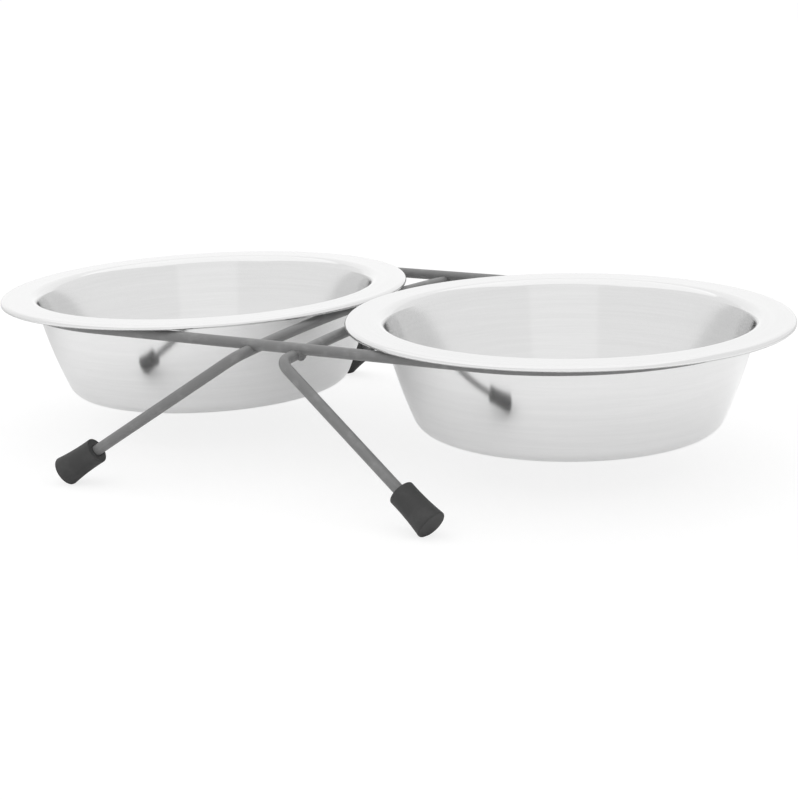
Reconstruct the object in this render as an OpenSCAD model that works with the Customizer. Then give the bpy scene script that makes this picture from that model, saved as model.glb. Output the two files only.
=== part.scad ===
// Double bowl feeder stand: two spun bowls hang by their rims in a welded wire stand on four rubber feet.
// Millimetres, +Z up, +X from the left bowl to the right bowl, origin on the floor under the middle.

/* [Bowls] */
// Outer diameter of the bowl rim
rim_d = 160; // [142:1:220]
// Diameter of the mouth, where the lines of the flat rim and the wall would meet
mouth_d = 133; // [100:0.2:150]
// Diameter where the lines of the wall and the flat base would meet
base_d = 110; // [80:0.2:130]
// Depth of a bowl, from the top of its rim to the underside of its base
bowl_depth = 40; // [25:0.5:44]
// Thickness of the sheet metal
sheet_t = 0.8; // [0.5:0.1:1.4]
// Height of the turned-down lip round the rim
lip_h = 2.2; // [1.6:0.1:4]
// Bend radius of the lip, on the middle of the sheet
lip_round = 1; // [0.8:0.1:1.4]
// Bend radius between rim and wall, on the middle of the sheet
mouth_round = 3.2; // [1.2:0.1:4]
// Bend radius between wall and base, on the middle of the sheet
base_round = 6.6; // [3:0.5:12]
// Gap between the two rims
rim_gap = 0.6; // [0.5:0.1:6]

/* [Wire stand] */
// Height of the bowl rims above the floor, on the axes of the bowls
stand_h = 56; // [50:0.5:90]
// Diameter of the wire
wire_d = 4; // [3:0.1:6]
// Clearance between a bowl wall and the ring of wire round it
loop_clearance = 1.4; // [0.8:0.1:4]
// Clearance between a rim and the wire that it sits on
seat_clearance = 0.3; // [0.2:0.05:0.6]
// Clearance between a cross bar and the bowl wall beside it
bar_clearance = 3.6; // [1:0.1:6]
// Depth that the cross bars are pressed into the rails by welding
weld_set = 1.3; // [0.1:0.05:1.5]
// Length that a cross bar runs on past the middle of the rail, up to the corner of its bend
cross_overhang = 10; // [7:0.5:14]
// Bend radius between cross bar and leg, on the middle of the wire
leg_bend_r = 5; // [4.5:0.5:10]
// Amount by which the wire is drawn thinner, all round, in its bends
bend_neck = 0.03; // [0.02:0.01:0.08]
// Length of full wire at either end of a bend
bend_lap = 0.4; // [0.2:0.05:0.4]
// Diameter of a weld bead
weld_d = 6.4; // [5.6:0.1:8]

/* [Feet] */
// Distance between the left and the right feet, at the middle of their ends
foot_span_x = 154; // [110:0.5:240]
// Distance between the front and the rear feet, at the middle of their ends
foot_span_y = 189.5; // [176:0.5:260]
// Length of a foot
foot_len = 16; // [12:0.5:24]
// Diameter of the foot at the top
foot_top_d = 9.2; // [7.5:0.1:14]
// Diameter of the foot at the floor end
foot_end_d = 10.9; // [8:0.1:16]
// Rounding of the foot's top edge
foot_top_round = 0.6; // [0.3:0.1:1.2]
// Rounding of the foot's floor edge
foot_end_round = 1.2; // [0.4:0.1:2]
// Length of wire inside a foot
foot_grip = 11; // [8:0.5:20]
// Clearance round the wire inside a foot
grip_clearance = 0.05; // [0.03:0.01:0.15]
// Depth of the flat worn on each foot by the floor
foot_flat = 0.5; // [0.3:0.1:1]

/* [Hidden] */

$fn = 96;
// Steps in one drawn arc of a profile
arc_steps = 10;

wire_r = wire_d / 2;

// The ring of wire runs round the bowl walls, as deep as the lip that sits on it
wall_slope = (mouth_d - base_d) / 2 / (bowl_depth - sheet_t);
loop_r = wall_radius(lip_h + seat_clearance + wire_r) + loop_clearance + wire_r;

// A bowl sits with its lip on the two rails, beside the middle of the stand, and with the flat of its rim on
// the round end of the loop. The lip is deeper than the flat, so the bowl tips outwards a little.
lip_reach = sqrt(pow(rim_d / 2 - sheet_t / 2, 2) - pow(loop_r, 2));
bowl_tip = atan2(lip_h - sheet_t, lip_reach + loop_r);
loop_z = stand_h - loop_r * sin(bowl_tip) - sheet_t * cos(bowl_tip) - seat_clearance - wire_r;

// The cross bars run under the rails, beside the bowl walls. The bowls stand apart by their rims, or by the
// cross bars and welds between their walls, whichever takes more room.
cross_z = loop_z - wire_d + weld_set;
bar_reach = wall_radius(stand_h - cross_z) + bar_clearance + wire_r;
bowl_x = max(rim_d / 2, bar_reach + weld_d / 2) + rim_gap / 2;
cross_x = bowl_x - bar_reach;

// Radius of the outer face of a bowl's wall at a given depth below the top of its rim
function wall_radius(depth) =
    mouth_d / 2 + sheet_t / 2 / cos(atan(wall_slope)) - wall_slope * (depth - sheet_t / 2);

// Each leg wire lies in one plane, which hangs from its cross bar: its own X runs down that plane, square to
// the bar, and its own Y along the bar. The front leg leaves the bar's end at bar_end and ends at leg_tip.
foot_z = end_height(3);
leg_drop = [foot_span_x / 2 - cross_x, cross_z - foot_z];
leg_fall = atan2(leg_drop.y, leg_drop.x);
bar_end = [0, -(loop_r + cross_overhang)];
leg_tip = [norm(leg_drop), -foot_span_y / 2];
leg_len = norm(leg_tip - bar_end);
leg_turn = atan2(leg_tip.x, bar_end.y - leg_tip.y);
bend_reach = leg_bend_r * tan(leg_turn / 2);

// Height of the middle of a foot's end, at which the end's lower edge reaches below the floor by foot_flat.
// The lean of the leg depends on that height, so it is settled in a few passes.
function end_height(passes) =
    let (guess = passes == 0 ? foot_end_d / 2 : end_height(passes - 1))
    let (from = [cross_x, -(loop_r + cross_overhang), cross_z])
    let (lean = unit([foot_span_x / 2, -foot_span_y / 2, guess] - from).z)
    (foot_end_d / 2 - foot_end_round) * sqrt(1 - pow(lean, 2)) + foot_end_round * (1 + lean) - foot_flat;

function unit(v) = v / norm(v);

// One rounded corner of a path, moved sideways from the path by shift: the two stretches that meet in the
// corner run along dir_in and dir_out, and a positive shift lies on their left
function corner_points(point, dir_in, dir_out, r, shift) =
    let (turn = atan2(dir_in.x * dir_out.y - dir_in.y * dir_out.x, dir_in * dir_out))
    let (side = sign(turn))
    let (left = [-dir_in.y, dir_in.x])
    let (start = point - r * tan(abs(turn) / 2) * dir_in)
    let (centre = start + side * r * left)
    let (from = atan2(-side * left.y, -side * left.x))
    [for (i = [0 : arc_steps])
        let (a = from + turn * i / arc_steps)
        centre + (r - side * shift) * [cos(a), sin(a)]];

// A path of straight stretches with rounded corners, moved sideways by shift
function rounded_path(points, radii, shift) =
    let (last = len(points) - 1)
    let (dirs = [for (i = [0 : last - 1]) unit(points[i + 1] - points[i])])
    concat(
        [points[0] + shift * [-dirs[0].y, dirs[0].x]],
        [for (i = [1 : last - 1]) each corner_points(points[i], dirs[i - 1], dirs[i], radii[i - 1], shift)],
        [points[last] + shift * [-dirs[last - 1].y, dirs[last - 1].x]]
    );

// Half of a foot's cross section, from its top down its axis, with both outer edges rounded
module foot_section() {
    outline = [
        [0, 0],
        [foot_top_d / 2, 0],
        [foot_end_d / 2, foot_len],
        [0, foot_len]
    ];
    polygon(rounded_path(outline, [foot_top_round, foot_end_round], 0));
}

// Places its children in the plane of the right leg wire
module leg_plane() {
    translate([cross_x, 0, cross_z])
        rotate([0, leg_fall, 0])
            children();
}

// Places its children in the leg's plane with their own Y along the front leg and 0 at the end of its bend
module on_leg() {
    translate([leg_bend_r, bar_end.y + bend_reach])
        rotate([0, 0, leg_turn])
            translate([-leg_bend_r, 0])
                children();
}

// A foot in place on the front right leg, cut flat by the floor
module foot() {
    below_floor = foot_end_d + foot_len;
    difference() {
        leg_plane()
            on_leg()
                translate([0, -(leg_len - bend_reach - foot_len), 0])
                    rotate([90, 0, 0])
                        difference() {
                            rotate_extrude()
                                foot_section();
                            translate([0, 0, -foot_top_round])
                                cylinder(d = wire_d + 2 * grip_clearance, h = foot_grip + foot_top_round);
                        }
        translate([foot_span_x / 2, -foot_span_y / 2, -below_floor])
            cylinder(r = below_floor, h = below_floor);
    }
}

// The two straight rails of the loop
module rails() {
    for (side = [-1, 1])
        translate([-bowl_x, side * loop_r, loop_z])
            rotate([0, 90, 0])
                cylinder(r = wire_r, h = 2 * bowl_x);
}

// The straight part of the right cross bar, which laps a little way into the bends
module cross_bar() {
    half = -bar_end.y - bend_reach + bend_lap;
    leg_plane()
        translate([0, half, 0])
            rotate([90, 0, 0])
                cylinder(r = wire_r, h = 2 * half);
}

// The bend at the front of the right leg wire, and the straight leg, which laps a little way into the bend
module leg() {
    straight = leg_len - bend_reach - foot_len + foot_grip;
    leg_plane() {
        translate([leg_bend_r, bar_end.y + bend_reach, 0])
            rotate([0, 0, 180])
                rotate_extrude(angle = leg_turn)
                    translate([leg_bend_r, 0])
                        circle(r = wire_r - bend_neck);
        on_leg()
            translate([0, bend_lap, 0])
                rotate([90, 0, 0])
                    cylinder(r = wire_r, h = straight + bend_lap);
    }
}

// The right leg wire, with the seats that welding presses into it
module leg_wire() {
    difference() {
        union() {
            cross_bar();
            leg();
            mirror([0, 1, 0])
                leg();
        }
        rails();
    }
}

// The weld of the right cross bar under the front rail
module weld() {
    difference() {
        translate([cross_x, -loop_r, (loop_z + cross_z) / 2])
            sphere(d = weld_d);
        rails();
        cross_bar();
    }
}

// A spun bowl on its own axis, with the top of its rim at height 0
module bowl() {
    mid = sheet_t / 2;
    sheet_path = [
        [rim_d / 2 - mid, -lip_h],
        [rim_d / 2 - mid, -mid],
        [mouth_d / 2, -mid],
        [base_d / 2, mid - bowl_depth],
        [0, mid - bowl_depth]
    ];
    bends = [lip_round, mouth_round, base_round];
    under = rounded_path(sheet_path, bends, mid);
    top = rounded_path(sheet_path, bends, -mid);
    rotate_extrude()
        polygon(concat(under, [for (i = [len(top) - 1 : -1 : 0]) top[i]]));
}

module support_loop() {
    color("dimgray") {
        rails();
        for (side = [0, 180])
            rotate([0, 0, side])
                translate([bowl_x, 0, loop_z])
                    rotate([0, 0, -90])
                        rotate_extrude(angle = 180)
                            translate([loop_r, 0])
                                circle(r = wire_r);
    }
}

module right_leg_wire() {
    color("dimgray")
        leg_wire();
}

module left_leg_wire() {
    color("dimgray")
        mirror([1, 0, 0])
            leg_wire();
}

module weld_beads() {
    color("gray")
        for (x_flip = [0, 1], y_flip = [0, 1])
            mirror([x_flip, 0, 0])
                mirror([0, y_flip, 0])
                    weld();
}

module front_right_foot() {
    color("black")
        foot();
}

module front_left_foot() {
    color("black")
        mirror([1, 0, 0])
            foot();
}

module rear_right_foot() {
    color("black")
        mirror([0, 1, 0])
            foot();
}

module rear_left_foot() {
    color("black")
        mirror([1, 0, 0])
            mirror([0, 1, 0])
                foot();
}

module left_bowl() {
    color("silver")
        translate([-bowl_x, 0, stand_h])
            rotate([0, -bowl_tip, 0])
                bowl();
}

module right_bowl() {
    color("silver")
        translate([bowl_x, 0, stand_h])
            rotate([0, bowl_tip, 0])
                bowl();
}

support_loop();
left_leg_wire();
right_leg_wire();
weld_beads();
front_left_foot();
front_right_foot();
rear_left_foot();
rear_right_foot();
left_bowl();
right_bowl();
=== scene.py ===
"""Looks of a double bowl feeder stand, laid out as an add-on and built around the packed part."""

import math

import bmesh
import bpy
from bpy.props import FloatProperty, FloatVectorProperty, IntProperty, PointerProperty
from bpy.types import Operator, Panel, PropertyGroup
from mathutils import Matrix, Quaternion, Vector


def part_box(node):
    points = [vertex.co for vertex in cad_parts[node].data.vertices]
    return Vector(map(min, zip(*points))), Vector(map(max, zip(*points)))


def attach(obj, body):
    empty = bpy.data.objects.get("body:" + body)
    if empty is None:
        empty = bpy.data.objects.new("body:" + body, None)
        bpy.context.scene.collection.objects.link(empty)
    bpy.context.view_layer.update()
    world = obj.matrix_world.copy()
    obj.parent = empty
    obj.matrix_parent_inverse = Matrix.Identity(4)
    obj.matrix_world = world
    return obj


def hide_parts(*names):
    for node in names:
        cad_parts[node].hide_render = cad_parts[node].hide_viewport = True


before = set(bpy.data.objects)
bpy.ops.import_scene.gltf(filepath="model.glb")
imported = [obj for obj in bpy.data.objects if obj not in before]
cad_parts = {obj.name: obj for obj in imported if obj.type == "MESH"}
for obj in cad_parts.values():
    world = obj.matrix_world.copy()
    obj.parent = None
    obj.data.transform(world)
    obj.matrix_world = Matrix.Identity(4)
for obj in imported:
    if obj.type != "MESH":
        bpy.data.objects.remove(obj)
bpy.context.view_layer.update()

bl_info = {
    "name": "Double bowl feeder stand",
    "version": (1, 0, 0),
    "blender": (4, 5, 0),
    "location": "3D View > Sidebar > Feeder stand",
    "description": "Spun steel bowls in a welded wire stand on rubber feet",
    "category": "Add Mesh",
}

MM = 0.001
# A stretch counts as straight while the cosine between the directions at its ends is over this.
STRAIGHT = 1 - 1e-5
# Points closer together than this are merged.
SAME_POINT = 1e-7
# A quarter turn, which lays the steel's grain round the bowl's axis.
GRAIN_TURN = 0.25
# A leg's lean and the height of its foot depend on each other, and are settled after so many rounds.
LEAN_ROUNDS = 3
BOWL_LOW, BOWL_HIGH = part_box("right_bowl")
LOOP_LOW, LOOP_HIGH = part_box("support_loop")
LEG_LOW, LEG_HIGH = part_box("right_leg_wire")
WIRE_RADIUS = (LOOP_HIGH.z - LOOP_LOW.z) / 2


def length(name, description, default):
    """A property that holds a length in metres."""
    return FloatProperty(
        name=name, description=description, default=default, min=0.0, unit="LENGTH", precision=5
    )


def lengths(name, description, default):
    """A property that holds a place, or a width and a height, in metres."""
    return FloatVectorProperty(
        name=name, description=description, default=default, size=len(default), unit="LENGTH", precision=5
    )


def angle(name, description, degrees):
    """A property that holds an angle, given here in degrees."""
    return FloatProperty(
        name=name, description=description, default=math.radians(degrees), unit="ROTATION"
    )


def factor(name, description, default):
    """A property that holds a number between 0 and 1."""
    return FloatProperty(
        name=name, description=description, default=default, min=0.0, max=1.0, subtype="FACTOR"
    )


def radiance(name, description, default):
    """A property that holds a strength of light, at which 1 shows white."""
    return FloatProperty(name=name, description=description, default=default, min=0.0)


def count(name, description, default):
    """A property that holds a number of faces."""
    return IntProperty(name=name, description=description, default=default, min=4)


def grey(name, description, level):
    """A property that holds a linear colour, by default a neutral grey."""
    return FloatVectorProperty(
        name=name, description=description, default=(level,) * 3, size=3, min=0.0, max=1.0, subtype="COLOR"
    )


class BowlSizes(PropertyGroup):
    """Sizes of a spun bowl. Bend radii lie on the middle of the sheet."""

    rim_top: length("Rim height", "Height of the rim's top on the bowl's axis", 56 * MM)
    rim_diameter: length("Rim diameter", "Outer diameter of the rim", BOWL_HIGH.y - BOWL_LOW.y)
    rim_gap: length("Rim gap", "Gap between the two rims", 0.6 * MM)
    depth: length("Depth", "From the rim's top to the underside of the base", 40 * MM)
    mouth_diameter: length("Mouth diameter", "Where the lines of rim and wall would meet", 133 * MM)
    base_diameter: length("Base diameter", "Where the lines of wall and base would meet", 108 * MM)
    sheet: length("Sheet", "Thickness of the sheet metal", 0.8 * MM)
    lip_height: length("Lip height", "Height of the turned-down lip", 2.2 * MM)
    lip_bend: length("Lip bend", "Bend radius of the lip", 1 * MM)
    mouth_bend: length("Mouth bend", "Bend radius between rim and wall", 3.2 * MM)
    base_bend: length("Base bend", "Bend radius between wall and base", 6.6 * MM)
    wall_swell: length("Wall swell", "About how far the wall is bowed outwards in the middle", 0.85 * MM)
    bend_steps: count("Bend steps", "Faces along one bend", 18)
    turns: count("Segments", "Faces round the bowl", 240)


class StandSizes(PropertyGroup):
    """Sizes of the welded wire stand."""

    wire_radius: length("Wire radius", "Half of the wire's diameter", WIRE_RADIUS)
    loop_height: length("Loop height", "Height of the loop's middle", (LOOP_LOW.z + LOOP_HIGH.z) / 2)
    loop_radius: length("Loop radius", "From the loop's axis to a rail's middle", LOOP_HIGH.y - WIRE_RADIUS)
    bar_x: length("Bar place", "Distance of a cross bar from the middle", LEG_LOW.x + WIRE_RADIUS)
    bar_height: length("Bar height", "Height of a cross bar's middle", LEG_HIGH.z - WIRE_RADIUS)
    bar_overhang: length("Bar overhang", "From the middle of a rail to the corner of the bend", 10 * MM)
    bar_bow: length("Bar bow", "About how far a cross bar is bowed up in the middle", 2.65 * MM)
    leg_bend: length("Leg bend", "Bend radius between cross bar and leg", 5 * MM)
    weld_diameter: length("Weld diameter", "Diameter of a weld bead", 5 * MM)
    weld_drop: length("Weld drop", "How far a bead lies below the contact of rail and bar", 0.3 * MM)
    weld_shift: length("Weld shift", "How far a bead lies outwards from its bar's middle", 1.5 * MM)
    weld_lumps: length("Weld lumps", "Height of the unevenness of a weld bead", 0.7 * MM)
    weld_seed: IntProperty(name="Weld seed", description="Picks how each bead is turned", default=4)
    wire_sides: count("Wire sides", "Faces round the wire", 32)
    bend_steps: count("Bend steps", "Faces along one bend", 16)
    end_steps: count("End steps", "Faces along one round end of the loop", 96)


class FootSizes(PropertyGroup):
    """Sizes of a rubber foot."""

    span_x: length("Span across", "Between the ends of left and right feet", 154 * MM)
    span_y: length("Span front to rear", "Between the ends of front and rear feet", 189.5 * MM)
    long: length("Length", "Length of a foot", 16 * MM)
    top_diameter: length("Top diameter", "Diameter at the top", 9.6 * MM)
    end_diameter: length("End diameter", "Diameter at the floor end", 11.2 * MM)
    waist: length("Waist", "About how far the side is drawn in at mid-height", 0.28 * MM)
    top_round: length("Top rounding", "Rounding of the top edge", 0.3 * MM)
    end_round: length("End rounding", "Rounding of the floor edge", 0.6 * MM)
    mouth_round: length("Hole rounding", "Rounding of the edge that the wire goes in at", 0.35 * MM)
    grip: length("Grip", "Length of wire inside a foot", 11 * MM)
    clearance: length("Clearance", "Clearance round the wire", 0.05 * MM)
    flat: length("Flat", "Depth of the flat worn by the floor", 0.3 * MM)
    turns: count("Segments", "Faces round a foot", 64)
    round_steps: count("Rounding steps", "Faces along one rounding", 8)


class Finishes(PropertyGroup):
    """Colours and gloss of the materials."""

    steel: grey("Steel", "Reflected colour of the bowls", 0.775)
    steel_dull: grey("Steel, dull", "Reflected colour of the duller rings", 0.744)
    steel_roughness: factor("Steel roughness", "Least roughness", 0.075)
    steel_clear: factor("Steel clearness", "Share without haze", 0.9)
    steel_grain: factor("Steel grain", "Blur across the rings", 0.65)
    wire: grey("Wire", "Colour of the wire's coating", 0.21)
    wire_worn: grey("Wire, worn", "Colour of the coating where it is rubbed", 0.27)
    weld: grey("Weld", "Colour of the weld beads", 0.27)
    weld_scorched: grey("Weld, scorched", "Colour of the beads where they are dark", 0.162)
    rubber: grey("Rubber", "Colour of the feet", 0.046)
    rubber_dusty: grey("Rubber, dusty", "Colour of the feet where dust clings", 0.085)
    dust_height: length("Dust height", "Height up to which the feet are dustier", 9 * MM)
    floor: grey("Floor", "Colour of the floor", 0.8)


class StageSettings(PropertyGroup):
    """Floor, light and camera."""

    floor_size: length("Floor size", "Side of the square floor", 6.0)
    floor_glow: radiance("Floor glow", "Part of the floor's white that no shadow dims", 0.78)
    floor_shade: factor("Floor shade", "Part of the floor's white that shadow dims", 0.27)
    mirror_glow: radiance("Mirrored glow", "The same glow as the steel shows it", 0.3)
    mirror_shade: factor("Mirrored shade", "The same shade as the steel shows it", 0.84)
    # Painted shade: the floor as the steel mirrors it is darkened by this share behind the object, coming in
    # over this distance.
    mirror_painted_shade: factor("Mirrored loss", "Share of both that is lost behind the object", 0.3)
    mirror_painted_shade_reach: length("Mirrored reach", "Distance over which that loss comes in", 0.16)
    sky_low: radiance("Sky at the horizon", "Light from low down", 0.55)
    sky_high: radiance("Sky overhead", "Light from straight above", 1.0)
    top_place: lengths("Top place", "Place of the panel overhead", (-0.2, -0.15, 1.7))
    top_size: lengths("Top size", "Width and height of the panel overhead", (3.0, 3.0))
    top_strength: radiance("Top strength", "Radiance of the panel overhead", 0.23)
    rear_place: lengths("Rear place", "Place of the rear panel", (-0.9, 1.6, 1.0))
    rear_size: lengths("Rear size", "Width and height of the rear panel", (3.2, 2.2))
    rear_strength: radiance("Rear strength", "Radiance of the rear panel", 0.1)
    front_place: lengths("Front place", "Place of the front panel", (0.8, -1.27, 0.6))
    front_size: lengths("Front size", "Width and height of the front panel", (1.3, 1.2))
    front_strength: radiance("Front strength", "Radiance of the front panel", 0.06)
    lens: FloatProperty(name="Lens", description="Focal length in millimetres", default=90.75, unit="CAMERA")
    turn: angle("Turn", "Camera's turn about Z", 31.503)
    tilt: angle("Tilt", "Camera's tilt downwards", 13.97)
    roll: angle("Roll", "Camera's roll", -2.033)
    place: lengths("Place", "Camera's place", (0.39605, -0.63293, 0.20216))


def find_socket(sockets, key):
    """The socket with that number or name, or the first one in use."""
    if isinstance(key, int):
        return sockets[key]
    return next(s for s in sockets if s.enabled and key in (None, s.name))


class Signal:
    """A node's output for Python expressions: an expression on values adds its Math nodes to the tree."""

    def __init__(self, tree, socket=None):
        self.tree = tree
        self.socket = socket

    def node(self, kind, settings=None, sockets=None, output=None):
        """Adds a node: its settings are set first, then its sockets get their values or links."""
        made = self.tree.nodes.new(kind)
        for name, value in (settings or {}).items():
            setattr(made, name, value)
        for key, value in (sockets or {}).items():
            socket = find_socket(made.inputs, key)
            if isinstance(value, Signal):
                self.tree.links.new(value.socket, socket)
            else:
                socket.default_value = value
        return Signal(self.tree, find_socket(made.outputs, output) if len(made.outputs) else None)

    def other(self, name):
        """Another output of the same node."""
        return Signal(self.tree, find_socket(self.socket.node.outputs, name))

    def math(self, operation, *values):
        """The result of a Math node on these values."""
        return self.node("ShaderNodeMath", {"operation": operation}, dict(enumerate(values)))

    def __add__(self, value):
        return self.math("ADD", self, value)

    def __sub__(self, value):
        return self.math("SUBTRACT", self, value)

    def __rsub__(self, value):
        return self.math("SUBTRACT", value, self)

    def __mul__(self, value):
        return self.math("MULTIPLY", self, value)

    def __truediv__(self, value):
        return self.math("DIVIDE", self, value)

    def __pow__(self, value):
        return self.math("POWER", self, value)

    __radd__ = __add__
    __rmul__ = __mul__


def fade(signal, low, high):
    """0 below low, 1 above high, and a smooth change between them."""
    return signal.node(
        "ShaderNodeMapRange",
        {"interpolation_type": "SMOOTHSTEP"},
        {"Value": signal, "From Min": low, "From Max": high},
    )


def noise(base, vector, scale, detail):
    """A noise value round 0.5."""
    return base.node("ShaderNodeTexNoise", sockets={"Vector": vector, "Scale": scale, "Detail": detail})


def relief(base, height, strength, depth):
    """A normal that shows a height between 0 and 1 as relief of a depth in metres."""
    return base.node("ShaderNodeBump", sockets={"Height": height, "Strength": strength, "Distance": depth})


def solid(rgb):
    """A colour with its alpha."""
    return (*rgb, 1.0)


def blend(base, share, first, second):
    """A colour between two colours."""
    return base.node(
        "ShaderNodeMix", {"data_type": "RGBA"}, {"Factor": share, "A": solid(first), "B": solid(second)}
    )


def new_material(name):
    """A material with an empty node tree, and where to start its expressions."""
    material = bpy.data.materials.new(name)
    material.use_nodes = True
    material.node_tree.nodes.clear()
    return material, Signal(material.node_tree)


def set_surface(base, sockets):
    """Ends a material's tree in one shader with these sockets."""
    shader = base.node("ShaderNodeBsdfPrincipled", sockets=sockets)
    base.node("ShaderNodeOutputMaterial", sockets={"Surface": shader})


def spun_steel(name, seat, finish):
    """Satin steel with the fine rings that spinning and polishing leave round the bowl's axis."""
    material, base = new_material(name)
    place = base.node("ShaderNodeTexCoord", output="Object")
    centred = base.node(
        "ShaderNodeMapping",
        {"vector_type": "TEXTURE"},
        {"Vector": place, "Location": seat.to_translation(), "Rotation": seat.to_euler()},
    )
    x = base.node("ShaderNodeSeparateXYZ", sockets={"Vector": centred})
    y = x.other("Y")
    z = x.other("Z")
    radius = (x * x + y * y) ** 0.5
    bearing_x = x / radius
    bearing_y = y / radius

    def rings(per_metre, wander):
        spot = base.node(
            "ShaderNodeCombineXYZ",
            sockets={"X": radius * per_metre, "Y": z * per_metre, "Z": bearing_x * wander},
        )
        return base.node(
            "ShaderNodeTexNoise",
            {"noise_dimensions": "4D"},
            {"Vector": spot, "W": bearing_y * wander, "Scale": 1.0, "Detail": 2.0},
        )

    fine = rings(per_metre=3500.0, wander=2.5)
    broad = rings(per_metre=500.0, wander=1.2)
    haze = noise(base, centred, scale=35.0, detail=3.0)
    tone = fade(broad * 0.4 + fine * 0.5 + haze * 0.1, low=0.35, high=0.65)
    set_surface(base, {
        "Base Color": blend(base, tone, finish.steel_dull, finish.steel),
        "Metallic": finish.steel_clear,
        "Roughness": finish.steel_roughness + fine * 0.05 + haze * 0.04,
        "Anisotropic": finish.steel_grain,
        "Anisotropic Rotation": GRAIN_TURN,
        "Normal": relief(base, fine + broad * 0.6, strength=0.35, depth=0.002 * MM),
    })
    return material


def coated_wire(name, finish):
    """Satin grey coating over drawn wire: faint lines along the wire, rubbed lighter here and there."""
    material, base = new_material(name)
    place = base.node("ShaderNodeTexCoord", output="Object")
    along = base.node("ShaderNodeAttribute", {"attribute_name": "along"}, output="Fac")
    around = base.node("ShaderNodeAttribute", {"attribute_name": "around"}, output="Fac") * math.tau
    lines_around = 9.0
    lines_per_metre = 60.0
    spot = base.node("ShaderNodeCombineXYZ", sockets={
        "X": around.math("COSINE", around) * lines_around,
        "Y": around.math("SINE", around) * lines_around,
        "Z": along * lines_per_metre,
    })
    drawn = noise(base, spot, scale=1.0, detail=3.0)
    mottle = noise(base, place, scale=220.0, detail=4.0)
    grit = noise(base, place, scale=1800.0, detail=2.0)
    rubbed = fade(mottle * 0.7 + drawn * 0.3, low=0.5, high=0.72)
    set_surface(base, {
        "Base Color": blend(base, rubbed, finish.wire, finish.wire_worn),
        "Roughness": 0.36 + grit * 0.14 - rubbed * 0.05,
        "Normal": relief(base, drawn * 0.6 + grit * 0.4, strength=0.3, depth=0.02 * MM),
    })
    return material


def weld_metal(name, finish):
    """The same coating over a rough, blistered bead."""
    material, base = new_material(name)
    place = base.node("ShaderNodeTexCoord", output="Object")
    blister = noise(base, place, scale=900.0, detail=5.0)
    clean = fade(noise(base, place, scale=260.0, detail=3.0), low=0.4, high=0.65)
    set_surface(base, {
        "Base Color": blend(base, clean, finish.weld_scorched, finish.weld),
        "Roughness": 0.34 + blister * 0.25,
        "Normal": relief(base, blister, strength=0.5, depth=0.1 * MM),
    })
    return material


def foot_rubber(name, finish):
    """Matt moulded rubber with a fine grain, a little dusty near the floor."""
    material, base = new_material(name)
    place = base.node("ShaderNodeTexCoord", output="Object")
    height = base.node("ShaderNodeSeparateXYZ", sockets={"Vector": place}, output="Z")
    grain = noise(base, place, scale=2600.0, detail=3.0)
    cloud = noise(base, place, scale=190.0, detail=4.0)
    low_down = 1.0 - fade(height, low=0.0, high=finish.dust_height)
    dust = fade(cloud, low=0.42, high=0.7) * (0.35 + low_down * 0.45)
    set_surface(base, {
        "Base Color": blend(base, dust, finish.rubber, finish.rubber_dusty),
        "Roughness": 0.55 + grain * 0.12 + dust * 0.15,
        "Specular IOR Level": 0.4,
        "Normal": relief(base, grain, strength=0.35, depth=0.04 * MM),
    })
    return material


def seen_rays(base):
    """1 for the rays that show the stage itself: straight from the camera, or off metal, or through glass."""
    camera = base.node("ShaderNodeLightPath", output="Is Camera Ray")
    shown = camera + camera.other("Is Glossy Ray") + camera.other("Is Transmission Ray")
    return shown.math("MINIMUM", shown, 1.0)


def white_floor(name, finish, stage):
    """A pale floor that shows white and keeps a soft shadow, a deeper one where the steel mirrors it; there,
    painted shade also darkens it behind the object.
    """
    material, base = new_material(name)

    def white(glow, shade):
        shaded = base.node("ShaderNodeBsdfDiffuse", sockets={"Color": solid((shade,) * 3)})
        glowing = base.node("ShaderNodeEmission", sockets={"Strength": glow})
        return base.node("ShaderNodeAddShader", sockets={0: shaded, 1: glowing})

    place = base.node("ShaderNodeTexCoord", output="Object")
    sight = (-math.sin(stage.turn), math.cos(stage.turn), 0)
    behind = base.node("ShaderNodeVectorMath", {"operation": "DOT_PRODUCT"}, {0: place, 1: sight}, "Value")
    # Painted shade: as the steel mirrors it, the floor is mixed towards a black surface behind the object,
    # standing in for dimmer light there.
    painted_shade = fade(behind, low=0.0, high=stage.mirror_painted_shade_reach) * stage.mirror_painted_shade
    painted_black = base.node("ShaderNodeBsdfDiffuse", sockets={"Color": solid((0, 0, 0))})
    lit = white(stage.mirror_glow, stage.mirror_shade)
    mirrored = base.node("ShaderNodeMixShader", sockets={0: painted_shade, 1: lit, 2: painted_black})
    plain = base.node("ShaderNodeBsdfDiffuse", sockets={"Color": solid(finish.floor)})
    direct = white(stage.floor_glow, stage.floor_shade)
    indirect = base.node("ShaderNodeMixShader", sockets={0: seen_rays(base), 1: plain, 2: mirrored})
    camera = base.node("ShaderNodeLightPath", output="Is Camera Ray")
    surface = base.node("ShaderNodeMixShader", sockets={0: camera, 1: indirect, 2: direct})
    base.node("ShaderNodeOutputMaterial", sockets={"Surface": surface})
    return material


def white_surround(stage):
    """A world that shows plain white and lights the object softly, more from above than from the sides."""
    world = bpy.data.worlds.new("surround")
    world.use_nodes = True
    world.node_tree.nodes.clear()
    base = Signal(world.node_tree)
    direction = base.node("ShaderNodeTexCoord", output="Generated")
    height = base.node("ShaderNodeSeparateXYZ", sockets={"Vector": direction}, output="Z")
    sky = stage.sky_low + fade(height, low=0.0, high=1.0) * (stage.sky_high - stage.sky_low)
    shown = seen_rays(base)
    background = base.node(
        "ShaderNodeBackground", sockets={"Color": solid((1, 1, 1)), "Strength": shown + (1 - shown) * sky}
    )
    base.node("ShaderNodeOutputWorld", sockets={"Surface": background})
    return world


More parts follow.
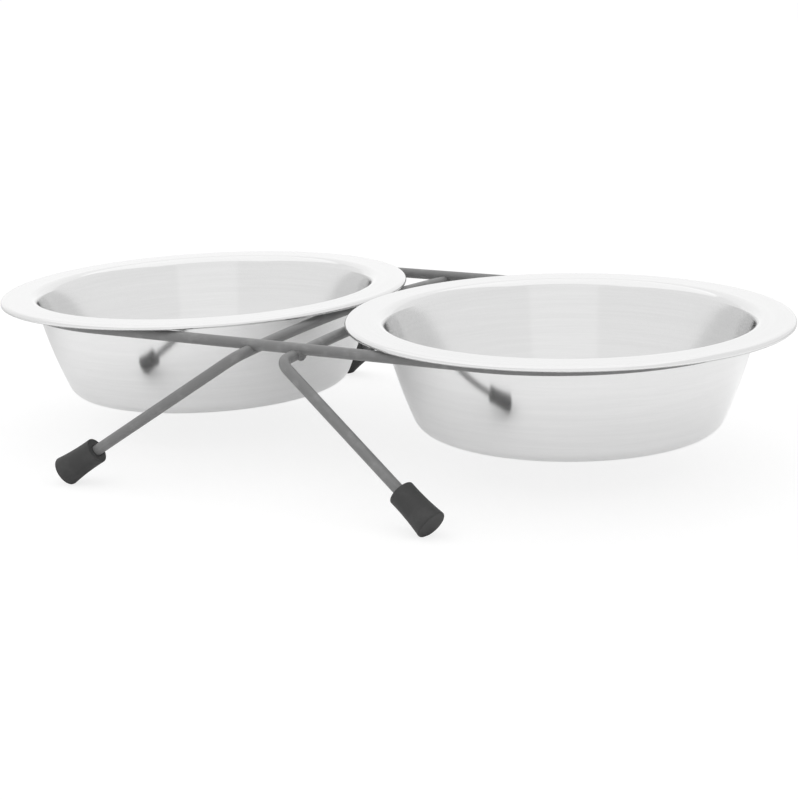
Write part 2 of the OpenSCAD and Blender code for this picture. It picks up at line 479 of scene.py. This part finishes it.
def rounded_corner(before, corner, after, radius, steps):
    """Points, with the path's direction at each, on the arc that rounds a corner of a path."""
    way_in = (corner - before).normalized()
    way_out = (after - corner).normalized()
    turn = way_in.angle(way_out)
    axis = way_in.cross(way_out).normalized()
    start = corner - way_in * radius * math.tan(turn / 2)
    centre = start + axis.cross(way_in) * radius
    spins = [Quaternion(axis, turn * step / steps) for step in range(steps + 1)]
    return [(centre + spin @ (start - centre), spin @ way_in) for spin in spins]


def rounded_path(corners, radii, steps):
    """Points, with directions, of a path of straight stretches with rounded corners."""
    path = [(corners[0], (corners[1] - corners[0]).normalized())]
    for before, corner, after, radius in zip(corners, corners[1:], corners[2:], radii):
        path += rounded_corner(before, corner, after, radius, steps)
    path.append((corners[-1], (corners[-1] - corners[-2]).normalized()))
    return path


def bowed(start, end, rise, margin):
    """The corner, and its bend radius, that bow a stretch by about a rise and leave its ends straight."""
    half = (end - start).length / 2
    return (start + end) / 2 + rise * 2, (half - margin) * half / (2 * rise.length)


def supported(path, margin):
    """The path with extra points a margin inside each long stretch, so that bends don't shade the flats."""
    points = [path[0]]
    for (start, way_in), (end, way_out) in zip(path, path[1:]):
        stretch = end - start
        if stretch.length > 4 * margin and way_in.dot(way_out) > STRAIGHT:
            step = stretch.normalized() * margin
            points += [(start + step, way_in), (end - step, way_out)]
        points.append((end, way_out))
    return points


def turned_mesh(name, outline, turns):
    """A closed mesh turned about Z from an outline that starts and ends on the axis."""
    shape = bmesh.new()
    chain = [shape.verts.new(point) for point in outline]
    edges = [shape.edges.new(pair) for pair in zip(chain, chain[1:])]
    bmesh.ops.spin(
        shape, geom=chain + edges, axis=(0, 0, 1), cent=(0, 0, 0), angle=math.tau, steps=turns, use_merge=True
    )
    bmesh.ops.remove_doubles(shape, verts=shape.verts, dist=SAME_POINT)
    bmesh.ops.recalc_face_normals(shape, faces=shape.faces)
    mesh = bpy.data.meshes.new(name)
    shape.to_mesh(mesh)
    shape.free()
    mesh.shade_smooth()
    return mesh


def make_piece(name, mesh, body, replaced):
    """Makes a finished piece that rides on a body and stands for a node of the packed part."""
    piece = bpy.data.objects.new(name, mesh)
    bpy.context.scene.collection.objects.link(piece)
    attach(piece, body)
    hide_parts(replaced)


def new_tree(name, inputs):
    """An empty geometry tree with these named inputs, and where to start its expressions."""
    tree = bpy.data.node_groups.new(name, "GeometryNodeTree")
    tree.interface.new_socket("Geometry", in_out="OUTPUT", socket_type="NodeSocketGeometry")
    for label, kind in {"Geometry": "NodeSocketGeometry", **inputs}.items():
        tree.interface.new_socket(label, in_out="INPUT", socket_type=kind)
    return tree, Signal(tree).node("NodeGroupInput")


def finish_tree(given, geometry):
    """Ends a tree: smooth, realised and with its material."""
    geometry = given.node("GeometryNodeSetShadeSmooth", sockets={"Geometry": geometry})
    geometry = given.node("GeometryNodeRealizeInstances", sockets={"Geometry": geometry})
    geometry = given.node(
        "GeometryNodeSetMaterial", sockets={"Geometry": geometry, "Material": given.other("Material")}
    )
    given.node("NodeGroupOutput", sockets={"Geometry": geometry})


def wire_tree():
    """Round wire along a path, with its length and its turn stored for the coating's pattern."""
    tree, given = new_tree("wire_along_path", {
        "Radius": "NodeSocketFloat", "Sides": "NodeSocketInt", "Material": "NodeSocketMaterial",
    })
    path = given.node("GeometryNodeMeshToCurve", sockets={"Mesh": given.other("Geometry")})
    section = given.node(
        "GeometryNodeCurvePrimitiveCircle",
        sockets={"Resolution": given.other("Sides"), "Radius": given.other("Radius")},
    )
    spline = given.node("GeometryNodeSplineParameter", output="Factor")
    path = given.node(
        "GeometryNodeStoreNamedAttribute",
        sockets={"Geometry": path, "Name": "along", "Value": spline.other("Length")},
    )
    section = given.node(
        "GeometryNodeStoreNamedAttribute", sockets={"Geometry": section, "Name": "around", "Value": spline}
    )
    wire = given.node(
        "GeometryNodeCurveToMesh", sockets={"Curve": path, "Profile Curve": section, "Fill Caps": True}
    )
    finish_tree(given, wire)
    return tree


def weld_tree():
    """A lumpy bead on every point, each turned its own way."""
    tree, given = new_tree("weld_beads", {
        "Radius": "NodeSocketFloat", "Lumps": "NodeSocketFloat", "Seed": "NodeSocketInt",
        "Material": "NodeSocketMaterial",
    })
    bead = given.node(
        "GeometryNodeMeshIcoSphere",
        sockets={"Radius": given.other("Radius"), "Subdivisions": 5},
        output="Mesh",
    )
    spin = given.node(
        "FunctionNodeRandomValue",
        {"data_type": "FLOAT_VECTOR"},
        {"Max": (math.tau,) * 3, "Seed": given.other("Seed")},
    )
    beads = given.node(
        "GeometryNodeInstanceOnPoints",
        sockets={"Points": given.other("Geometry"), "Instance": bead, "Rotation": spin},
    )
    beads = given.node("GeometryNodeRealizeInstances", sockets={"Geometry": beads})
    place = given.node("GeometryNodeInputPosition")
    # The bead swells where the noise is over this level, and is hollow where it is under it.
    level = 0.55
    swell = (noise(given, place, scale=420.0, detail=1.0) - level) * 2.0
    push = given.node(
        "ShaderNodeVectorMath",
        {"operation": "SCALE"},
        {"Vector": given.node("GeometryNodeInputNormal"), "Scale": swell * given.other("Lumps")},
    )
    beads = given.node("GeometryNodeSetPosition", sockets={"Geometry": beads, "Offset": push})
    finish_tree(given, beads)
    return tree


def grown_mesh(name, points, edges, tree, values):
    """The plain mesh that a tree grows on these points and edges."""
    guide = bpy.data.meshes.new(name + "_guide")
    guide.from_pydata(points, edges, [])
    holder = bpy.data.objects.new(name + "_guide", guide)
    bpy.context.scene.collection.objects.link(holder)
    modifier = holder.modifiers.new(tree.name, "NODES")
    modifier.node_group = tree
    for item in tree.interface.items_tree:
        if item.in_out == "INPUT" and item.name in values:
            modifier[item.identifier] = values[item.name]
    bpy.context.view_layer.update()
    grown = holder.evaluated_get(bpy.context.evaluated_depsgraph_get())
    mesh = bpy.data.meshes.new_from_object(grown)
    mesh.name = name
    holder.modifiers.remove(modifier)
    bpy.data.objects.remove(holder)
    bpy.data.meshes.remove(guide)
    return mesh


def bowl_outline(bowl):
    """The sheet's outline in the XZ half plane, from the axis below the base round to the axis above it."""
    half = bowl.sheet / 2
    side = Vector((0, 1, 0))
    mid_rim = bowl.rim_diameter / 2 - half
    mouth = Vector((bowl.mouth_diameter / 2, 0, -half))
    base = Vector((bowl.base_diameter / 2, 0, half - bowl.depth))
    outward = (base - mouth).cross(side).normalized()
    swell, swell_bend = bowed(mouth, base, outward * bowl.wall_swell, bowl.base_bend)
    corners = [
        Vector((mid_rim, 0, half - bowl.lip_height)),
        Vector((mid_rim, 0, -half)),
        mouth,
        swell,
        base,
        Vector((0, 0, base.z)),
    ]
    bends = [bowl.lip_bend, bowl.mouth_bend, swell_bend, bowl.base_bend]
    path = supported(rounded_path(corners, bends, bowl.bend_steps), bowl.sheet / 4)
    outer = [point + way.cross(side) * half for point, way in path]
    inner = [point - way.cross(side) * half for point, way in path]
    edge = [
        corners[0] + Quaternion(side, math.pi * step / bowl.bend_steps) @ (outer[0] - corners[0])
        for step in range(1, bowl.bend_steps)
    ]
    return outer[::-1] + edge + inner


def bowl_seat(bowl, stand, side):
    """Where a bowl sits: its lip is on the rails, its flat rim on the loop's end, and so it tips outwards."""
    lip_radius = (bowl.rim_diameter - bowl.sheet) / 2
    lip_reach = math.sqrt(lip_radius**2 - stand.loop_radius**2)
    tip = math.atan2(bowl.lip_height - bowl.sheet, lip_reach + stand.loop_radius)
    axis_x = (bowl.rim_diameter + bowl.rim_gap) / 2
    return Matrix.Translation((side * axis_x, 0, bowl.rim_top)) @ Matrix.Rotation(side * tip, 4, "Y")


def foot_frames(stand, foot):
    """The bar's end and the middle of the foot's end, on the front right leg."""
    bar_end = Vector((stand.bar_x, -(stand.loop_radius + stand.bar_overhang), stand.bar_height))
    tip = Vector((foot.span_x / 2, -foot.span_y / 2, foot.end_diameter / 2))
    flat_radius = foot.end_diameter / 2 - foot.end_round
    for _ in range(LEAN_ROUNDS):
        lean = (tip - bar_end).normalized().z
        tip.z = flat_radius * math.sqrt(1 - lean**2) + foot.end_round * (1 + lean) - foot.flat
    return bar_end, tip


def foot_outline(stand, foot):
    """Half of a foot's section, with Z up the leg, from the middle of its floor end to its hole's end."""
    hole = stand.wire_radius + foot.clearance
    end = Vector((foot.end_diameter / 2, 0, 0))
    top = Vector((foot.top_diameter / 2, 0, foot.long))
    inward = (top - end).cross(Vector((0, 1, 0))).normalized()
    waist, waist_bend = bowed(end, top, inward * foot.waist, 2 * foot.end_round)
    corners = [
        Vector((0, 0, 0)),
        end,
        waist,
        top,
        Vector((hole, 0, foot.long)),
        Vector((hole, 0, foot.long - foot.grip)),
        Vector((0, 0, foot.long - foot.grip)),
    ]
    rounds = [foot.end_round, waist_bend, foot.top_round, foot.mouth_round, foot.mouth_round]
    path = supported(rounded_path(corners, rounds, foot.round_steps), foot.mouth_round)
    return [point for point, _ in path]


class FEEDER_OT_bowls(Operator):
    """Turn both bowls from one outline"""

    bl_idname = "feeder.bowls"
    bl_label = "Bowls"

    def execute(self, context):
        bowl = context.scene.feeder_bowl
        outline = bowl_outline(bowl)
        for node, side in (("left_bowl", -1), ("right_bowl", 1)):
            seat = bowl_seat(bowl, context.scene.feeder_stand, side)
            mesh = turned_mesh("spun_" + node, outline, bowl.turns)
            mesh.transform(seat)
            mesh.materials.append(spun_steel("steel_of_" + node, seat, context.scene.feeder_finish))
            make_piece("spun_" + node, mesh, node, node)
        return {"FINISHED"}


class FEEDER_OT_wires(Operator):
    """Sweep the support loop and both leg wires"""

    bl_idname = "feeder.wires"
    bl_label = "Wires"

    def execute(self, context):
        stand = context.scene.feeder_stand
        foot = context.scene.feeder_foot
        bowl = context.scene.feeder_bowl
        end_x = (bowl.rim_diameter + bowl.rim_gap) / 2
        values = {
            "Radius": stand.wire_radius,
            "Sides": stand.wire_sides,
            "Material": coated_wire("wire_coating", context.scene.feeder_finish),
        }
        tree = wire_tree()
        loop = []
        for end in (1, -1):
            for step in range(stand.end_steps + 1):
                bearing = math.pi * (step / stand.end_steps - 0.5)
                x = end_x + stand.loop_radius * math.cos(bearing)
                y = stand.loop_radius * math.sin(bearing)
                loop.append(Vector((end * x, end * y, stand.loop_height)))
        self.sweep("loop_wire", "support_loop", loop, True, tree, values)
        bar_end, tip = foot_frames(stand, foot)
        wire_tip = tip + (bar_end - tip).normalized() * (foot.long - foot.grip)
        front = [wire_tip, bar_end]
        rear = [Vector((point.x, -point.y, point.z)) for point in reversed(front)]
        peak, peak_bend = bowed(bar_end, rear[0], Vector((0, 0, stand.bar_bow)), stand.bar_overhang)
        bends = [stand.leg_bend, peak_bend, stand.leg_bend]
        path = rounded_path([*front, peak, *rear], bends, stand.bend_steps)
        for node, side in (("left_leg_wire", -1), ("right_leg_wire", 1)):
            points = [Vector((side * point.x, point.y, point.z)) for point, _ in path]
            self.sweep("bent_" + node, node, points, False, tree, values)
        return {"FINISHED"}

    def sweep(self, name, node, points, closed, tree, values):
        """Makes one wire along these points."""
        edges = [(i, i + 1) for i in range(len(points) - 1)]
        if closed:
            edges.append((len(points) - 1, 0))
        make_piece(name, grown_mesh(name, points, edges, tree, values), "stand", node)


class FEEDER_OT_welds(Operator):
    """Lay a weld bead where each cross bar meets a rail"""

    bl_idname = "feeder.welds"
    bl_label = "Welds"

    def execute(self, context):
        stand = context.scene.feeder_stand
        height = (stand.loop_height + stand.bar_height) / 2 - stand.weld_drop
        reach = stand.bar_x + stand.weld_shift
        spots = [(x * reach, y * stand.loop_radius, height) for x in (-1, 1) for y in (-1, 1)]
        values = {
            "Radius": stand.weld_diameter / 2,
            "Lumps": stand.weld_lumps,
            "Seed": stand.weld_seed,
            "Material": weld_metal("weld_coating", context.scene.feeder_finish),
        }
        mesh = grown_mesh("bar_welds", spots, [], weld_tree(), values)
        make_piece("bar_welds", mesh, "stand", "weld_beads")
        return {"FINISHED"}


class FEEDER_OT_feet(Operator):
    """Turn the four rubber feet and wear them flat on the floor"""

    bl_idname = "feeder.feet"
    bl_label = "Feet"

    def execute(self, context):
        stand = context.scene.feeder_stand
        foot = context.scene.feeder_foot
        rubber = foot_rubber("foot_rubber", context.scene.feeder_finish)
        outline = foot_outline(stand, foot)
        bar_end, tip = foot_frames(stand, foot)
        for end, y in (("front", 1), ("rear", -1)):
            for side, x in (("left", -1), ("right", 1)):
                node = f"{end}_{side}_foot"
                foot_tip = Vector((x * tip.x, y * tip.y, tip.z))
                up_leg = Vector((x * bar_end.x, y * bar_end.y, bar_end.z)) - foot_tip
                place = Matrix.Translation(foot_tip) @ up_leg.to_track_quat("Z", "Y").to_matrix().to_4x4()
                mesh = turned_mesh("rubber_" + node, outline, foot.turns)
                mesh.transform(place)
                self.wear_flat(mesh)
                mesh.materials.append(rubber)
                make_piece("rubber_" + node, mesh, "stand", node)
        return {"FINISHED"}

    def wear_flat(self, mesh):
        """Cuts off what lies below the floor and closes the cut with a sharp-edged face."""
        shape = bmesh.new()
        shape.from_mesh(mesh)
        whole = shape.verts[:] + shape.edges[:] + shape.faces[:]
        cut = bmesh.ops.bisect_plane(
            shape, geom=whole, plane_co=(0, 0, 0), plane_no=(0, 0, 1), clear_inner=True, dist=SAME_POINT
        )
        rim = [item for item in cut["geom_cut"] if isinstance(item, bmesh.types.BMEdge)]
        flats = bmesh.ops.contextual_create(shape, geom=rim)["faces"]
        for edge in {edge for face in flats for edge in face.edges}:
            edge.smooth = False
        bmesh.ops.recalc_face_normals(shape, faces=shape.faces)
        shape.to_mesh(mesh)
        shape.free()


class FEEDER_OT_stage(Operator):
    """Set the floor, the light and the camera"""

    bl_idname = "feeder.stage"
    bl_label = "Stage"

    def execute(self, context):
        scene = context.scene
        stage = scene.feeder_stage
        scene.view_settings.view_transform = "Standard"
        scene.world = white_surround(stage)
        half = stage.floor_size / 2
        mesh = bpy.data.meshes.new("floor")
        corners = [(-half, -half, 0), (half, -half, 0), (half, half, 0), (-half, half, 0)]
        mesh.from_pydata(corners, [], [(0, 1, 2, 3)])
        mesh.materials.append(white_floor("floor_white", scene.feeder_finish, stage))
        floor = bpy.data.objects.new("floor", mesh)
        scene.collection.objects.link(floor)
        self.panel("top_panel", stage.top_place, stage.top_size, stage.top_strength)
        self.panel("rear_panel", stage.rear_place, stage.rear_size, stage.rear_strength)
        self.panel("front_panel", stage.front_place, stage.front_size, stage.front_strength)
        self.camera(scene, stage)
        return {"FINISHED"}

    def panel(self, name, place, size, strength):
        """Hangs a soft light panel that faces the object."""
        lamp = bpy.data.lights.new(name, "AREA")
        lamp.shape = "RECTANGLE"
        lamp.size, lamp.size_y = size
        lamp.energy = strength * math.pi * lamp.size * lamp.size_y
        panel = bpy.data.objects.new(name, lamp)
        panel.location = place
        panel.rotation_euler = (-Vector(place)).to_track_quat("-Z", "Y").to_euler()
        bpy.context.scene.collection.objects.link(panel)

    def camera(self, scene, stage):
        """Sets the camera at the photograph's viewing angle."""
        camera = bpy.data.objects.new("camera", bpy.data.cameras.new("camera"))
        camera.data.lens = stage.lens
        camera.data.sensor_width = 36.0
        turn = Matrix.Rotation(stage.turn, 4, "Z")
        tilt = Matrix.Rotation(math.pi / 2 - stage.tilt, 4, "X")
        roll = Matrix.Rotation(stage.roll, 4, "Z")
        camera.matrix_world = Matrix.Translation(stage.place) @ turn @ tilt @ roll
        scene.collection.objects.link(camera)
        scene.camera = camera


STEPS = (FEEDER_OT_bowls, FEEDER_OT_wires, FEEDER_OT_welds, FEEDER_OT_feet, FEEDER_OT_stage)
SETTINGS = {
    "feeder_bowl": BowlSizes,
    "feeder_stand": StandSizes,
    "feeder_foot": FootSizes,
    "feeder_finish": Finishes,
    "feeder_stage": StageSettings,
}


class FEEDER_PT_panel(Panel):
    """Lists the settings and the steps"""

    bl_idname = "FEEDER_PT_panel"
    bl_label = "Feeder stand"
    bl_space_type = "VIEW_3D"
    bl_region_type = "UI"
    bl_category = "Feeder stand"

    def draw(self, context):
        for step in STEPS:
            self.layout.operator(step.bl_idname)
        for name, kind in SETTINGS.items():
            box = self.layout.box()
            box.label(text=kind.__doc__)
            for item in kind.__annotations__:
                box.prop(getattr(context.scene, name), item)


def register():
    for kind in (*SETTINGS.values(), *STEPS, FEEDER_PT_panel):
        bpy.utils.register_class(kind)
    for name, kind in SETTINGS.items():
        setattr(bpy.types.Scene, name, PointerProperty(type=kind))


def unregister():
    for name in SETTINGS:
        delattr(bpy.types.Scene, name)
    for kind in (FEEDER_PT_panel, *reversed(STEPS), *reversed(SETTINGS.values())):
        bpy.utils.unregister_class(kind)


def main():
    register()
    bpy.ops.feeder.bowls()
    bpy.ops.feeder.wires()
    bpy.ops.feeder.welds()
    bpy.ops.feeder.feet()
    bpy.ops.feeder.stage()


if __name__ == "__main__":
    main()
